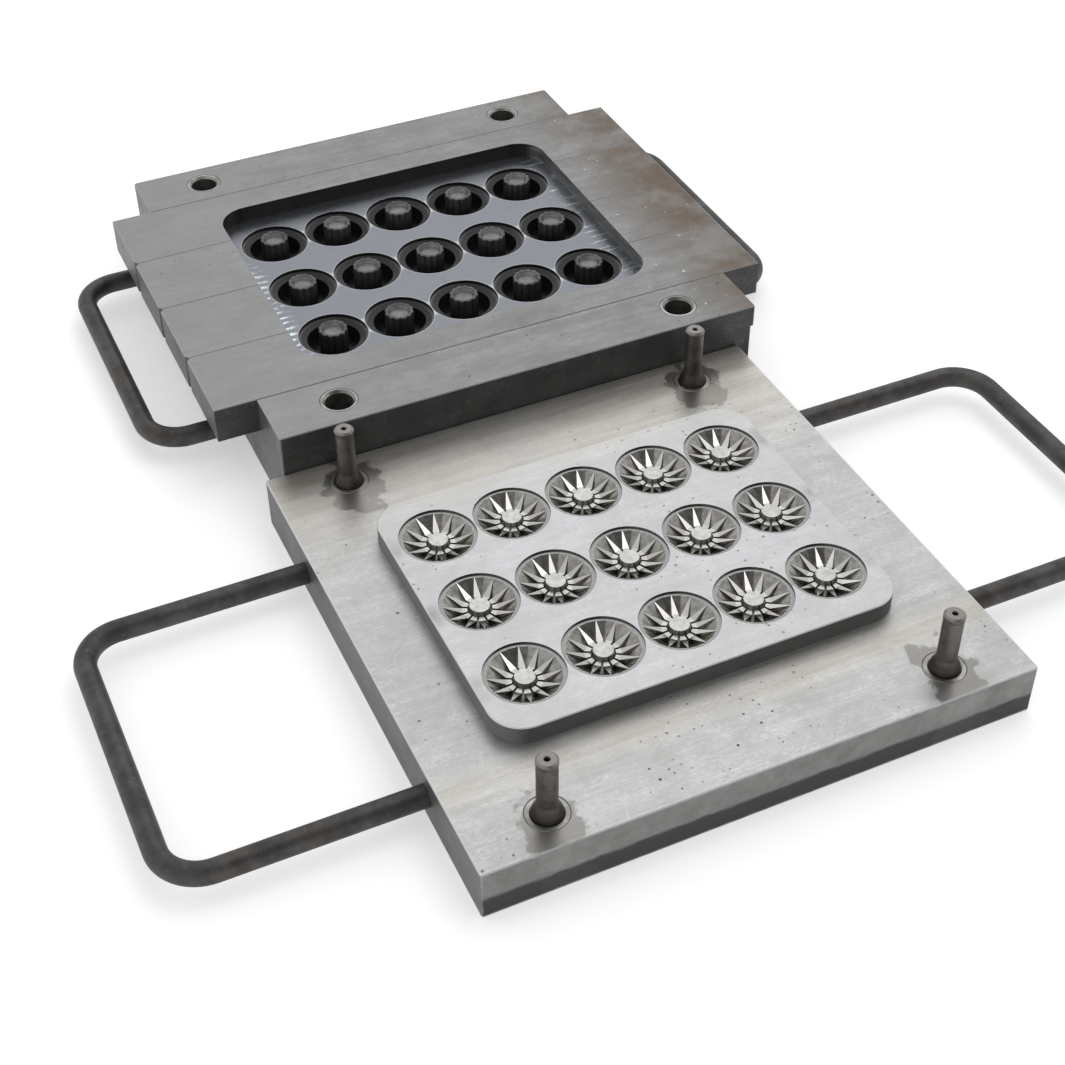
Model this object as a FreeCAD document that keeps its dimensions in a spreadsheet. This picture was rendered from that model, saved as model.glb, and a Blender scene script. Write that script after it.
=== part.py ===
import FreeCAD, Part
import os
from math import cos, pi, sin
import Sketcher
from FreeCAD import Placement, Rotation, Vector

# Steel compression mould for small fluted silicone pads, opened and laid down as two halves.
# Millimetres, +Z up. Both halves lie on Z = 0, and the origin is midway between them.
# The front half (-Y) carries the raised pad, the rear half (+Y) the split bars.

doc = FreeCAD.newDocument("Mould")

dimensions = {
    # both halves
    "PlateLength": 300,        # along X
    "PlateWidth": 300,         # along Y
    "CornerRound": 1.5,
    "EdgeBreak": 0.5,          # chamfer round the top faces
    "StandGap": 0.3,           # between the halves as they lie
    "RearShift": 11,           # the rear half lies this far to +X
    # front plate
    "FrontThickness": 30,
    "PadHeight": 11,
    "PadCorner": 18,
    "PadEdgeX": 6,             # pad beyond the outer cavities
    "PadEdgeY": 13,
    # cavities: five columns, three rows on the bar joints
    "Columns": 5,
    "RingWeb": 0.5,            # between two rings in a row
    "RingWidth": 2,            # tear-trim ring
    "RingDepth": 1,
    "RimDiameter": 38,
    "Flutes": 12,
    "RidgeTip": 0.3,           # width of a ridge at the rim
    "RootDiameter": 18.4,      # ridges and petals meet here
    "RootDepth": 5,
    "FluteDepth": 8,           # at the root
    "FluteTip": 1.3,           # width of a flute at the root
    "SlotWidth": 0.9,          # where a flute runs out at the boss
    "BossDiameter": 10.4,
    "BossDepth": 2.5,
    "SkirtDiameter": 13,       # foot of the boss, which a core post's dish covers when closed
    "SkirtDepth": 4.9,
    "SkirtFluteDepth": 6.3,    # of the flutes where they pass the foot
    # guide pins and their sleeves
    "PinSpacingX": 216,
    "PinShank": 11,
    "PinFit": 16,
    "PinHead": 19,
    "PinHeadHeight": 4,
    "PinRise": 37,             # above the front plate
    "PinFitRise": 6,
    "PinTaper": 3,
    "PinChamfer": 1.2,
    "CentreDrill": 3,
    "CentreDrillDepth": 2.5,
    "SleeveDiameter": 22,
    "SleeveHead": 27,
    "SleeveHeadHeight": 7,
    "SleeveChamfer": 0.4,
    "FitGap": 0.05,            # radial gap of a turned fit
    # rear half
    "RearHeight": 55,
    "BarWidth": 55,
    "BarHeight": 22,
    "BarLength": 350,
    "BarChamfer": 0.4,
    "BarNotch": 2.5,           # chamfer at the joints' left ends
    "ChannelGap": 0.2,         # each side of the four bars
    "RecessGap": 0.5,          # each side of the pad when closed
    "RecessDepth": 10,
    "WellStep": 2,
    "WellConeHeight": 1.2,
    "WellBore": 32,
    "BushLength": 30,
    "BushMouth": 1.4,
    "BushClearance": 0.1,      # radial, round a guide pin
    "BushRelief": 17.5,
    "PrySlotLength": 6,
    "PrySlotDepth": 4,
    "PrySlotTop": 14,          # below the rail's top
    # core posts
    "LobeRoot": 15.4,
    "LobeOver": 17.6,
    "LobeTip": 1.9,            # flat on a lobe
    "CoreRise": 4.4,           # above the recess floor
    "DimpleMouth": 13.4,
    "DimpleFloor": 10.8,
    "DimpleDepth": 2.4,
    "SpigotDiameter": 12,
    "SpigotLength": 10,
    # handles bent from round bar
    "RodDiameter": 12,
    "RodBend": 22,
    "RodHeight": 15,
    "RodSocket": 25,
    "RodGap": 0.1,
    "FrontGrip": 170,
    "FrontReach": 125,
    "RearGrip": 176,
    "RearReach": 55,
    "RearGripShift": 14,
}

sheet = doc.addObject("Spreadsheet::Sheet", "Dims")
for line, (alias, number) in enumerate(dimensions.items(), start=1):
    sheet.set("A%d" % line, alias)
    sheet.set("B%d" % line, str(number))
    sheet.setAlias("B%d" % line, alias)
doc.recompute()

# what follows from the driving sizes
RING = "(Dims.RimDiameter + 2 * Dims.RingWidth)"
COLUMN_PITCH = "(%s + Dims.RingWeb)" % RING
PAD_LENGTH = "((Dims.Columns - 1) * %s + %s + 2 * Dims.PadEdgeX)" % (COLUMN_PITCH, RING)
PAD_WIDTH = "(2 * Dims.BarWidth + %s + 2 * Dims.PadEdgeY)" % RING
PIN_X = "Dims.PinSpacingX / 2"
PIN_Y = "(Dims.PlateWidth + 4 * Dims.BarWidth) / 4"     # on the rails' centre lines
SLEEVE_HOLE = "(Dims.SleeveDiameter + 2 * Dims.FitGap)"
FRONT_TOP = "Dims.FrontThickness + Dims.PadHeight"
CHANNEL_FLOOR = "(Dims.RearHeight - Dims.BarHeight)"
RECESS_FLOOR = "(Dims.RearHeight - Dims.RecessDepth)"
REAR_Y = "(Dims.PlateWidth + Dims.StandGap) / 2"
FRONT_Y = "-" + REAR_Y
ROD_HOLE = "(Dims.RodDiameter + 2 * Dims.RodGap)"
REACH_PAST = 5    # how far a cutting shape runs out of the metal

columns = int(sheet.Columns)
rows = 3


def value(expression):
    """Number that an expression gives."""
    result = sheet.evalExpression(expression.replace("Dims.", ""))
    return float(getattr(result, "Value", result))


def column_x(column):
    """Place of a column of cavities, from the middle one."""
    return "(%s) * %s" % (column - (columns - 1) / 2, COLUMN_PITCH)


def row_y(row):
    """Place of a row of cavities, on a joint between two bars."""
    return "(%d) * Dims.BarWidth" % (row - 1)


def bind(item, **sizes):
    """Bind an object's properties to the sheet."""
    for name, expression in sizes.items():
        item.setExpression(name.replace("_", "."), expression)


def place(item, x="0", y="0", z="0", turn=0):
    """Put a finished piece in the model's frame."""
    item.Placement = Placement(Vector(value(x), value(y), value(z)), Rotation(Vector(0, 0, 1), turn))
    bind(item, Placement_Base_x=x, Placement_Base_y=y, Placement_Base_z=z)


def new_body(label):
    body = doc.addObject("PartDesign::Body", label)
    body.Label = label
    return body


def new_sketch(body, name, plane="XY_Plane", x="0", y="0", z="0"):
    """Sketch on one of the body's own planes, moved within it by x, y and off it by z."""
    sketch = body.newObject("Sketcher::SketchObject", name)
    support = next(f for f in body.Origin.OriginFeatures if f.Role == plane)
    sketch.AttachmentSupport = [(support, "")]
    sketch.MapMode = "FlatFace"
    sketch.AttachmentOffset = Placement(Vector(value(x), value(y), value(z)), Rotation())
    bind(sketch, AttachmentOffset_Base_x=x, AttachmentOffset_Base_y=y, AttachmentOffset_Base_z=z)
    return sketch


def pin_point(sketch, line, end, x, y):
    """Fix one point of a sketch by two bound distances from its origin."""
    for kind, expression in (("DistanceX", x), ("DistanceY", y)):
        size = value(expression)
        if size == 0:
            axis = -2 if kind == "DistanceX" else -1
            sketch.addConstraint(Sketcher.Constraint("PointOnObject", line, end, axis))
        elif size > 0:
            item = sketch.addConstraint(Sketcher.Constraint(kind, -1, 1, line, end, size))
            sketch.setExpression("Constraints[%d]" % item, expression)
        else:
            item = sketch.addConstraint(Sketcher.Constraint(kind, line, end, -1, 1, -size))
            sketch.setExpression("Constraints[%d]" % item, "-(%s)" % expression)


def draw_outline(sketch, points):
    """Closed outline of straight lines through points given as pairs of expressions."""
    spots = [Vector(value(x), value(y), 0) for x, y in points]
    count = len(spots)
    first = sketch.GeometryCount
    for i in range(count):
        sketch.addGeometry(Part.LineSegment(spots[i], spots[(i + 1) % count]))
    for i in range(count):
        after = first + (i + 1) % count
        sketch.addConstraint(Sketcher.Constraint("Coincident", first + i, 2, after, 1))
    for i, (x, y) in enumerate(points):
        pin_point(sketch, first + i, 1, x, y)


def draw_rectangle(sketch, length, width):
    """Rectangle about the sketch's origin."""
    x, y = "(%s) / 2" % length, "(%s) / 2" % width
    draw_outline(sketch, [("-%s" % x, "-%s" % y), (x, "-%s" % y), (x, y), ("-%s" % x, y)])


def draw_circle(sketch, x, y, diameter):
    spot = Vector(value(x), value(y), 0)
    item = sketch.addGeometry(Part.Circle(spot, Vector(0, 0, 1), value(diameter) / 2))
    pin_point(sketch, item, 3, x, y)
    size = sketch.addConstraint(Sketcher.Constraint("Diameter", item, value(diameter)))
    sketch.setExpression("Constraints[%d]" % size, diameter)


def draw_pin_circles(sketch, diameter):
    for x in ("-" + PIN_X, PIN_X):
        for y in ("-" + PIN_Y, PIN_Y):
            draw_circle(sketch, x, y, diameter)


def add_pad(body, sketch, length, reversed_way=False):
    pad = body.newObject("PartDesign::Pad", "Pad")
    pad.Profile = sketch
    pad.Length = value(length)
    pad.Reversed = reversed_way
    bind(pad, Length=length)
    return pad


def cut_pocket(body, sketch, depth=None, reversed_way=False):
    """Pocket against the sketch's normal, through everything if no depth is given."""
    doc.recompute()
    before = body.Shape.Volume
    pocket = body.newObject("PartDesign::Pocket", "Pocket")
    pocket.Profile = sketch
    pocket.Reversed = reversed_way
    if depth is None:
        pocket.Type = "ThroughAll"
        pocket.Midplane = True
    else:
        pocket.Length = value(depth)
        bind(pocket, Length=depth)
    doc.recompute()
    if body.Shape.Volume > before - 1e-3:
        raise RuntimeError("%s: %s cuts nothing" % (body.Label, sketch.Name))
    return pocket


def turn_profile(body, points, kind="PartDesign::Revolution"):
    """Revolve an outline of radius and height about the body's own Z axis."""
    sketch = new_sketch(body, "TurnedProfile", "XZ_Plane")
    draw_outline(sketch, points)
    turned = body.newObject(kind, "Turned")
    turned.Profile = sketch
    turned.ReferenceAxis = (sketch, ["V_Axis"])
    turned.Angle = 360
    return turned


def edges_where(shape, test):
    return ["Edge%d" % i for i, edge in enumerate(shape.Edges, start=1) if test(edge)]


def dress_edges(body, kind, size, test):
    """Fillet or chamfer the edges of the body that pass the test."""
    doc.recompute()
    tip = body.Tip
    dressed = body.newObject("PartDesign::%s" % kind, kind)
    dressed.Base = (tip, edges_where(tip.Shape, test))
    if kind == "Fillet":
        bind(dressed, Radius=size)
    else:
        bind(dressed, Size=size)
    return dressed


def is_upright(edge):
    box = edge.BoundBox
    return box.XLength < 1e-6 and box.YLength < 1e-6


def is_rim(height, length, width):
    """Test for the level edges that bound a top face of that size at that height."""
    reach_x, reach_y, level = value(length) / 2, value(width) / 2, value(height)

    def test(edge):
        box = edge.BoundBox
        far_x, far_y = max(-box.XMin, box.XMax), max(-box.YMin, box.YMax)
        flat = abs(box.ZMin - level) < 1e-3 and abs(box.ZMax - level) < 1e-3
        return flat and (far_x > reach_x - 1e-3 or far_y > reach_y - 1e-3)

    return test


def cut_from(label, base, tool):
    """Finished piece: base with a tool's shape taken out."""
    piece = doc.addObject("Part::Cut", label)
    piece.Label = label
    piece.Base = base
    piece.Tool = tool
    return piece


def cut_rod_sockets(body, grip, shift):
    """Blind holes for the handles' legs in both ends of a half."""
    for side, inward in ((-1, True), (1, False)):
        end = "%d * Dims.PlateLength / 2" % side
        sockets = new_sketch(body, "RodSockets", "YZ_Plane", z=end)
        for leg in (-1, 1):
            draw_circle(sockets, "%s + (%d) * %s / 2" % (shift, leg, grip), "Dims.RodHeight", ROD_HOLE)
        cut_pocket(body, sockets, "Dims.RodSocket + Dims.RodGap", inward)


def add_pipe(body, path, profile):
    pipe = body.newObject("PartDesign::AdditivePipe", "Bent")
    pipe.Profile = profile
    pipe.Spine = (path, [])
    return pipe


def repeat_tool(label, source, spots):
    """Copies of a cutting shape at several places."""
    doc.recompute()
    tools = doc.addObject("Part::Feature", label)
    tools.Label = label
    tools.Shape = Part.makeCompound([source.Shape.translated(spot) for spot in spots])
    return tools


def cavity_spots(x, y, z):
    """Places of the fifteen cavities about a half's own middle."""
    return [
        Vector(value(x) + value(column_x(column)), value(y) + value(row_y(row)), value(z))
        for row in range(rows)
        for column in range(columns)
    ]


def flute_form():
    """Flutes, ridges and centre boss of one cavity as a faceted solid, Z = 0 on the pad's top."""
    count = int(value("Dims.Flutes"))
    rim, root, skirt, boss = (
        value("Dims.%sDiameter / 2" % name) for name in ("Rim", "Root", "Skirt", "Boss")
    )
    half_turn = pi / count - value("Dims.RidgeTip") / (2 * rim)
    tip, slot = value("Dims.FluteTip / 2"), value("Dims.SlotWidth / 2")
    waist = slot + (tip - slot) * (skirt - boss) / (root - boss)
    rim_z, crest_z, floor_z, skirt_z, waist_z, boss_z = (
        -value("Dims.%sDepth" % name) for name in ("Ring", "Root", "Flute", "Skirt", "SkirtFlute", "Boss")
    )

    def spot(flute, x, y, z):
        """Point of a flute: x out from the axis, y across."""
        return Rotation(Vector(0, 0, 1), 360 * flute / count) * Vector(x, y, z)

    def corners(flute):
        """A flute's corners as pairs: rim, deepest place, ridge foot above it, the same two at the
        boss's foot, and the flute's end at the boss."""
        places = (
            (rim * cos(half_turn), rim * sin(half_turn), rim_z),
            (root, tip, floor_z),
            (root, tip, crest_z),
            (skirt, waist, waist_z),
            (skirt, waist, skirt_z),
            (boss, slot, boss_z),
        )
        return [[spot(flute, x, side * y, z) for side in (-1, 1)] for x, y, z in places]

    outlines, rim_line, boss_line = [], [], []
    for flute in range(count):
        (left, right), floor, foot, waist_floor, waist_foot, slot_ends = corners(flute)
        after = corners(flute + 1)
        next_left, next_foot, next_waist, next_slot = (after[i][0] for i in (0, 2, 4, 5))
        middle = spot(flute, rim, 0, rim_z)
        outlines += [
            (left, middle, floor[0]),
            (middle, floor[1], floor[0]),
            (middle, right, floor[1]),
            (floor[0], floor[1], waist_floor[1], waist_floor[0]),
            (waist_floor[0], waist_floor[1], slot_ends[1], slot_ends[0]),
            (left, floor[0], foot[0]),
            (right, foot[1], floor[1]),
            (foot[0], floor[0], waist_floor[0], waist_foot[0]),
            (foot[1], waist_foot[1], waist_floor[1], floor[1]),
            (waist_foot[0], waist_floor[0], slot_ends[0]),
            (waist_foot[1], slot_ends[1], waist_floor[1]),
            (right, next_left, next_foot, foot[1]),
            (foot[1], next_foot, next_waist, waist_foot[1]),
            (waist_foot[1], next_waist, next_slot, slot_ends[1]),
        ]
        rim_line += [left, middle, right]
        boss_line += slot_ends
    lift = Vector(0, 0, -rim_z)
    for first, second in zip(rim_line, rim_line[1:] + rim_line[:1]):
        outlines.append((first, second, second + lift, first + lift))
    outlines += [boss_line, [point + lift for point in rim_line]]
    faces = [Part.Face(Part.makePolygon(list(outline) + [outline[0]])) for outline in outlines]
    solid = Part.Solid(Part.makeShell(faces))
    return solid if solid.Volume > 0 else solid.reversed()


def build_cavity_tool():
    """The form that sinks one cavity: trim ring outside, flutes inside."""
    flutes = doc.addObject("Part::Feature", "flute_form")
    flutes.Shape = flute_form()
    ring = doc.addObject("Part::Cylinder", "ring_form")
    bind(ring, Radius=RING + " / 2", Height="Dims.RingDepth + %d" % REACH_PAST)
    bind(ring, Placement_Base_z="-Dims.RingDepth")
    form = doc.addObject("Part::Fuse", "cavity_form")
    form.Base, form.Tool = ring, flutes
    return form


def build_front_plate():
    """Plate with the pad raised from the solid, sleeve bores, handle sockets and the cavities."""
    blank = new_body("front_blank")
    outline = new_sketch(blank, "PlateOutline")
    draw_rectangle(outline, "Dims.PlateLength", "Dims.PlateWidth")
    add_pad(blank, outline, "Dims.FrontThickness")
    dress_edges(blank, "Fillet", "Dims.CornerRound", is_upright)
    raised = new_sketch(blank, "PadOutline", z="Dims.FrontThickness")
    draw_rectangle(raised, PAD_LENGTH, PAD_WIDTH)
    add_pad(blank, raised, "Dims.PadHeight")
    top = value("Dims.FrontThickness")
    dress_edges(blank, "Fillet", "Dims.PadCorner", lambda e: is_upright(e) and e.BoundBox.ZMax > top + 1)
    plate_rim = is_rim("Dims.FrontThickness", "Dims.PlateLength", "Dims.PlateWidth")
    dress_edges(blank, "Chamfer", "Dims.EdgeBreak", plate_rim)
    dress_edges(blank, "Chamfer", "Dims.EdgeBreak", is_rim(FRONT_TOP, PAD_LENGTH, PAD_WIDTH))
    bores = new_sketch(blank, "SleeveBores", z="Dims.FrontThickness")
    draw_pin_circles(bores, SLEEVE_HOLE)
    cut_pocket(blank, bores, "Dims.FrontThickness")
    heads = new_sketch(blank, "SleeveHeads")
    draw_pin_circles(heads, "Dims.SleeveHead + 2 * Dims.FitGap")
    cut_pocket(blank, heads, "Dims.SleeveHeadHeight", True)
    cut_rod_sockets(blank, "Dims.FrontGrip", "0")
    place(blank, y=FRONT_Y)
    cavities = repeat_tool("cavity_tools", build_cavity_tool(), cavity_spots("0", FRONT_Y, FRONT_TOP))
    return cut_from("front_plate", blank, cavities)


def build_guide_pin(number, x, y):
    """Headed pin: fit diameter in the sleeve, taper, slimmer shank, centre drilling in its top."""
    body = new_body("guide_pin_%d" % number)
    top = "Dims.FrontThickness + Dims.PinRise"
    fit_top = "Dims.FrontThickness + Dims.PinFitRise"
    turn_profile(body, [
        ("0", "0"),
        ("Dims.PinHead / 2", "0"),
        ("Dims.PinHead / 2", "Dims.PinHeadHeight"),
        ("Dims.PinFit / 2", "Dims.PinHeadHeight"),
        ("Dims.PinFit / 2", fit_top),
        ("Dims.PinShank / 2", fit_top + " + Dims.PinTaper"),
        ("Dims.PinShank / 2", top + " - Dims.PinChamfer"),
        ("Dims.PinShank / 2 - Dims.PinChamfer", top),
        ("Dims.CentreDrill / 2", top),
        ("0", top + " - Dims.CentreDrillDepth"),
    ])
    place(body, x, y)
    return body


def build_pin_sleeve(number, x, y):
    """Flush sleeve with a head below, bored for the pin and its head."""
    body = new_body("pin_sleeve_%d" % number)
    bore = "Dims.PinFit / 2 + Dims.FitGap"
    head_bore = "Dims.PinHead / 2 + Dims.FitGap"
    seat = "Dims.PinHeadHeight + Dims.FitGap"
    top, chamfer = "Dims.FrontThickness", "Dims.SleeveChamfer"
    turn_profile(body, [
        (head_bore, "0"),
        ("Dims.SleeveHead / 2", "0"),
        ("Dims.SleeveHead / 2", "Dims.SleeveHeadHeight - Dims.FitGap"),
        ("Dims.SleeveDiameter / 2", "Dims.SleeveHeadHeight - Dims.FitGap"),
        ("Dims.SleeveDiameter / 2", "%s - %s" % (top, chamfer)),
        ("Dims.SleeveDiameter / 2 - %s" % chamfer, top),
        ("%s + %s" % (bore, chamfer), top),
        (bore, "%s - %s" % (top, chamfer)),
        (bore, seat),
        (head_bore, seat),
    ])
    place(body, x, y)
    return body


def build_handle(label, grip, reach, x, y, turn):
    """U of round bar, legs along X into the half's end, its own origin on the end face."""
    body = new_body(label)
    path = new_sketch(body, "Path")
    sizes = {
        "leg": "%s / 2" % grip,
        "in": "-Dims.RodSocket",
        "bend": "%s - Dims.RodBend" % reach,
        "side": "%s / 2 - Dims.RodBend" % grip,
    }
    leg, socket, bend, side = (value(sizes[key]) for key in ("leg", "in", "bend", "side"))
    out = value(reach)
    radius = value("Dims.RodBend")
    path.addGeometry(Part.LineSegment(Vector(socket, -leg, 0), Vector(bend, -leg, 0)))
    near_bend, far_bend = (Part.Circle(Vector(bend, y, 0), Vector(0, 0, 1), radius) for y in (-side, side))
    path.addGeometry(Part.ArcOfCircle(near_bend, -pi / 2, 0))
    path.addGeometry(Part.LineSegment(Vector(out, -side, 0), Vector(out, side, 0)))
    path.addGeometry(Part.ArcOfCircle(far_bend, 0, pi / 2))
    path.addGeometry(Part.LineSegment(Vector(bend, leg, 0), Vector(socket, leg, 0)))
    for first, end, second, start in ((0, 2, 1, 1), (1, 2, 2, 1), (2, 2, 3, 1), (3, 2, 4, 1)):
        path.addConstraint(Sketcher.Constraint("Tangent", first, end, second, start))
    path.addConstraint(Sketcher.Constraint("Horizontal", 0))
    path.addConstraint(Sketcher.Constraint("Equal", 1, 3))
    size = path.addConstraint(Sketcher.Constraint("Radius", 1, radius))
    path.setExpression("Constraints[%d]" % size, "Dims.RodBend")
    pin_point(path, 0, 1, sizes["in"], "-(%s)" % sizes["leg"])
    pin_point(path, 4, 2, sizes["in"], sizes["leg"])
    size = path.addConstraint(Sketcher.Constraint("DistanceX", -1, 1, 2, 1, out))
    path.setExpression("Constraints[%d]" % size, reach)
    section = new_sketch(body, "RodSection", "YZ_Plane", z=sizes["in"])
    draw_circle(section, "-(%s)" % sizes["leg"], "0", "Dims.RodDiameter")
    add_pipe(body, path, section)
    place(body, x, y, "Dims.RodHeight", turn)
    return body


def build_rear_base():
    """Block with a channel along X for the bars, post holes in its floor, bush bores in its rails."""
    body = new_body("rear_base")
    outline = new_sketch(body, "BlockOutline")
    draw_rectangle(outline, "Dims.PlateLength", "Dims.PlateWidth")
    add_pad(body, outline, "Dims.RearHeight")
    dress_edges(body, "Fillet", "Dims.CornerRound", is_upright)
    channel = new_sketch(body, "Channel", "YZ_Plane")
    side, above = "(2 * Dims.BarWidth + Dims.ChannelGap)", "(Dims.RearHeight + %d)" % REACH_PAST
    draw_outline(channel, [
        ("-" + side, CHANNEL_FLOOR),
        (side, CHANNEL_FLOOR),
        (side, above),
        ("-" + side, above),
    ])
    cut_pocket(body, channel)
    rail_rim = is_rim("Dims.RearHeight", "Dims.PlateLength", "Dims.PlateWidth")
    dress_edges(body, "Chamfer", "Dims.EdgeBreak", rail_rim)
    bores = new_sketch(body, "BushBores", z="Dims.RearHeight")
    draw_pin_circles(bores, SLEEVE_HOLE)
    cut_pocket(body, bores, "Dims.BushLength")
    relief = new_sketch(body, "BushRelief", z="Dims.RearHeight")
    draw_pin_circles(relief, "Dims.BushRelief")
    cut_pocket(body, relief, "Dims.RearHeight")
    posts = new_sketch(body, "PostHoles", z=CHANNEL_FLOOR)
    for row in range(rows):
        for column in range(columns):
            draw_circle(posts, column_x(column), row_y(row), "Dims.SpigotDiameter + 2 * Dims.FitGap")
    cut_pocket(body, posts, "Dims.SpigotLength + Dims.FitGap")
    slot = new_sketch(body, "PrySlot")
    corner_x, corner_y = "Dims.PlateLength / 2", "-Dims.PlateWidth / 2"
    inner_x, inner_y = corner_x + " - Dims.PrySlotLength", corner_y + " + Dims.PrySlotDepth"
    draw_outline(slot, [
        (inner_x, corner_y + " - 1"),
        (corner_x + " + 1", corner_y + " - 1"),
        (corner_x + " + 1", inner_y),
        (inner_x, inner_y),
    ])
    cut_pocket(body, slot, "Dims.RearHeight - Dims.PrySlotTop", True)
    cut_rod_sockets(body, "Dims.RearGrip", "Dims.RearGripShift")
    place(body, "Dims.RearShift", REAR_Y)
    return body


def build_recess_tools():
    """What is milled across the four bars together: the pad's recess and the fifteen wells."""
    recess = new_body("recess_tool")
    outline = new_sketch(recess, "RecessOutline")
    draw_rectangle(outline, PAD_LENGTH + " + 2 * Dims.RecessGap", PAD_WIDTH + " + 2 * Dims.RecessGap")
    add_pad(recess, outline, "Dims.RecessDepth + %d" % REACH_PAST)
    dress_edges(recess, "Fillet", "Dims.PadCorner + Dims.RecessGap", is_upright)
    place(recess, "Dims.RearShift", REAR_Y, RECESS_FLOOR)
    well = new_body("well_form")
    ring, bore = RING + " / 2", "Dims.WellBore / 2"
    turn_profile(well, [
        ("0", "1"),
        ("0", "-Dims.BarHeight"),
        (bore, "-Dims.BarHeight"),
        (bore, "-Dims.WellStep - Dims.WellConeHeight"),
        (ring, "-Dims.WellStep"),
        (ring, "1"),
    ])
    return recess, repeat_tool("well_tools", well, cavity_spots("Dims.RearShift", REAR_Y, RECESS_FLOOR))


def build_split_bar(number, recess, wells):
    """One of the four equal bars, a quarter of the recess and its half wells along the joints."""
    blank = new_body("bar_blank_%d" % number)
    outline = new_sketch(blank, "BarOutline")
    draw_rectangle(outline, "Dims.BarLength", "Dims.BarWidth")
    add_pad(blank, outline, "Dims.BarHeight")
    left, joints = -value("Dims.BarLength") / 2, [side for side, at in ((-1, 1), (1, 4)) if number != at]

    def is_notch(edge):
        box = edge.BoundBox
        return is_upright(edge) and abs(box.XMin - left) < 1e-3 and (1 if box.YMin > 0 else -1) in joints

    def is_top(edge):
        return edge.BoundBox.ZMin > value("Dims.BarHeight") - 1e-3

    dress_edges(blank, "Chamfer", "Dims.BarNotch", is_notch)
    dress_edges(blank, "Chamfer", "Dims.BarChamfer", is_top)
    place(blank, "Dims.RearShift", "%s + %.1f * Dims.BarWidth" % (REAR_Y, number - 2.5), CHANNEL_FLOOR)
    milled = cut_from("bar_recessed_%d" % number, blank, recess)
    return cut_from("split_bar_%d" % number, milled, wells)


def build_guide_bush(number, x, y):
    """Flush bush in a rail, its mouth chamfered for the guide pin."""
    body = new_body("guide_bush_%d" % number)
    bore = "Dims.PinFit / 2 + Dims.BushClearance"
    top, bottom = "Dims.RearHeight", "Dims.RearHeight - Dims.BushLength"
    chamfer = "Dims.SleeveChamfer"
    turn_profile(body, [
        (bore, bottom),
        ("Dims.SleeveDiameter / 2", bottom),
        ("Dims.SleeveDiameter / 2", "%s - %s" % (top, chamfer)),
        ("Dims.SleeveDiameter / 2 - %s" % chamfer, top),
        ("%s + Dims.BushMouth" % bore, top),
        (bore, "%s - Dims.BushMouth" % top),
    ])
    place(body, x, y)
    return body


def build_core_post(number, x, y):
    """Scalloped post with a dished top, on a spigot set into the channel floor."""
    body = new_body("core_post_%d" % number)
    lobed = new_sketch(body, "Lobes")
    count = dimensions["Flutes"]
    over, root, tip = "Dims.LobeOver / 2", "Dims.LobeRoot / 2", "Dims.LobeTip / 2"
    points = []
    for lobe in range(count):
        turn, gap = 2 * pi * lobe / count, 2 * pi * (lobe + 0.5) / count
        for side in ("-", "+"):
            points.append((
                "%s * %.6f %s %s * %.6f" % (over, cos(turn), "+" if side == "-" else "-", tip, sin(turn)),
                "%s * %.6f %s %s * %.6f" % (over, sin(turn), side, tip, cos(turn)),
            ))
        points.append(("%s * %.6f" % (root, cos(gap)), "%s * %.6f" % (root, sin(gap))))
    draw_outline(lobed, points)
    height = "Dims.BarHeight - Dims.RecessDepth + Dims.CoreRise"
    add_pad(body, lobed, height)
    spigot = new_sketch(body, "Spigot")
    draw_circle(spigot, "0", "0", "Dims.SpigotDiameter")
    add_pad(body, spigot, "Dims.SpigotLength", True)
    doc.recompute()
    before = body.Shape.Volume
    dish = turn_profile(body, [
        ("0", "%s + 1" % height),
        ("0", "%s - Dims.DimpleDepth" % height),
        ("Dims.DimpleFloor / 2", "%s - Dims.DimpleDepth" % height),
        ("Dims.DimpleMouth / 2", height),
        ("Dims.DimpleMouth / 2", "%s + 1" % height),
    ], "PartDesign::Groove")
    doc.recompute()
    if body.Shape.Volume > before - 1:
        raise RuntimeError("%s: %s cuts nothing" % (body.Label, dish.Name))
    place(body, x, y, CHANNEL_FLOOR)
    return body


pieces = [build_front_plate(), build_rear_base()]
recess, wells = build_recess_tools()
pieces += [build_split_bar(number, recess, wells) for number in range(1, 5)]
corners = [("-" + PIN_X, "-" + PIN_Y), (PIN_X, "-" + PIN_Y), ("-" + PIN_X, PIN_Y), (PIN_X, PIN_Y)]
for number, (x, y) in enumerate(corners, start=1):
    front_y = "%s + %s" % (FRONT_Y, y)
    pieces.append(build_guide_pin(number, x, front_y))
    pieces.append(build_pin_sleeve(number, x, front_y))
    pieces.append(build_guide_bush(number, "Dims.RearShift + %s" % x, "%s + %s" % (REAR_Y, y)))
for row in range(rows):
    for column in range(columns):
        x, y = "Dims.RearShift + " + column_x(column), "%s + %s" % (REAR_Y, row_y(row))
        pieces.append(build_core_post(row * columns + column + 1, x, y))
for side, sign, turn in (("left", "-", 180), ("right", "", 0)):
    end = "%sDims.PlateLength / 2" % sign
    pieces.append(build_handle("front_handle_" + side, "Dims.FrontGrip", "Dims.FrontReach", end, FRONT_Y, turn))
    rear_y = "%s + Dims.RearGripShift" % REAR_Y
    rear_end = "Dims.RearShift + " + end
    pieces.append(build_handle("rear_handle_" + side, "Dims.RearGrip", "Dims.RearReach", rear_end, rear_y, turn))

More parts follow.
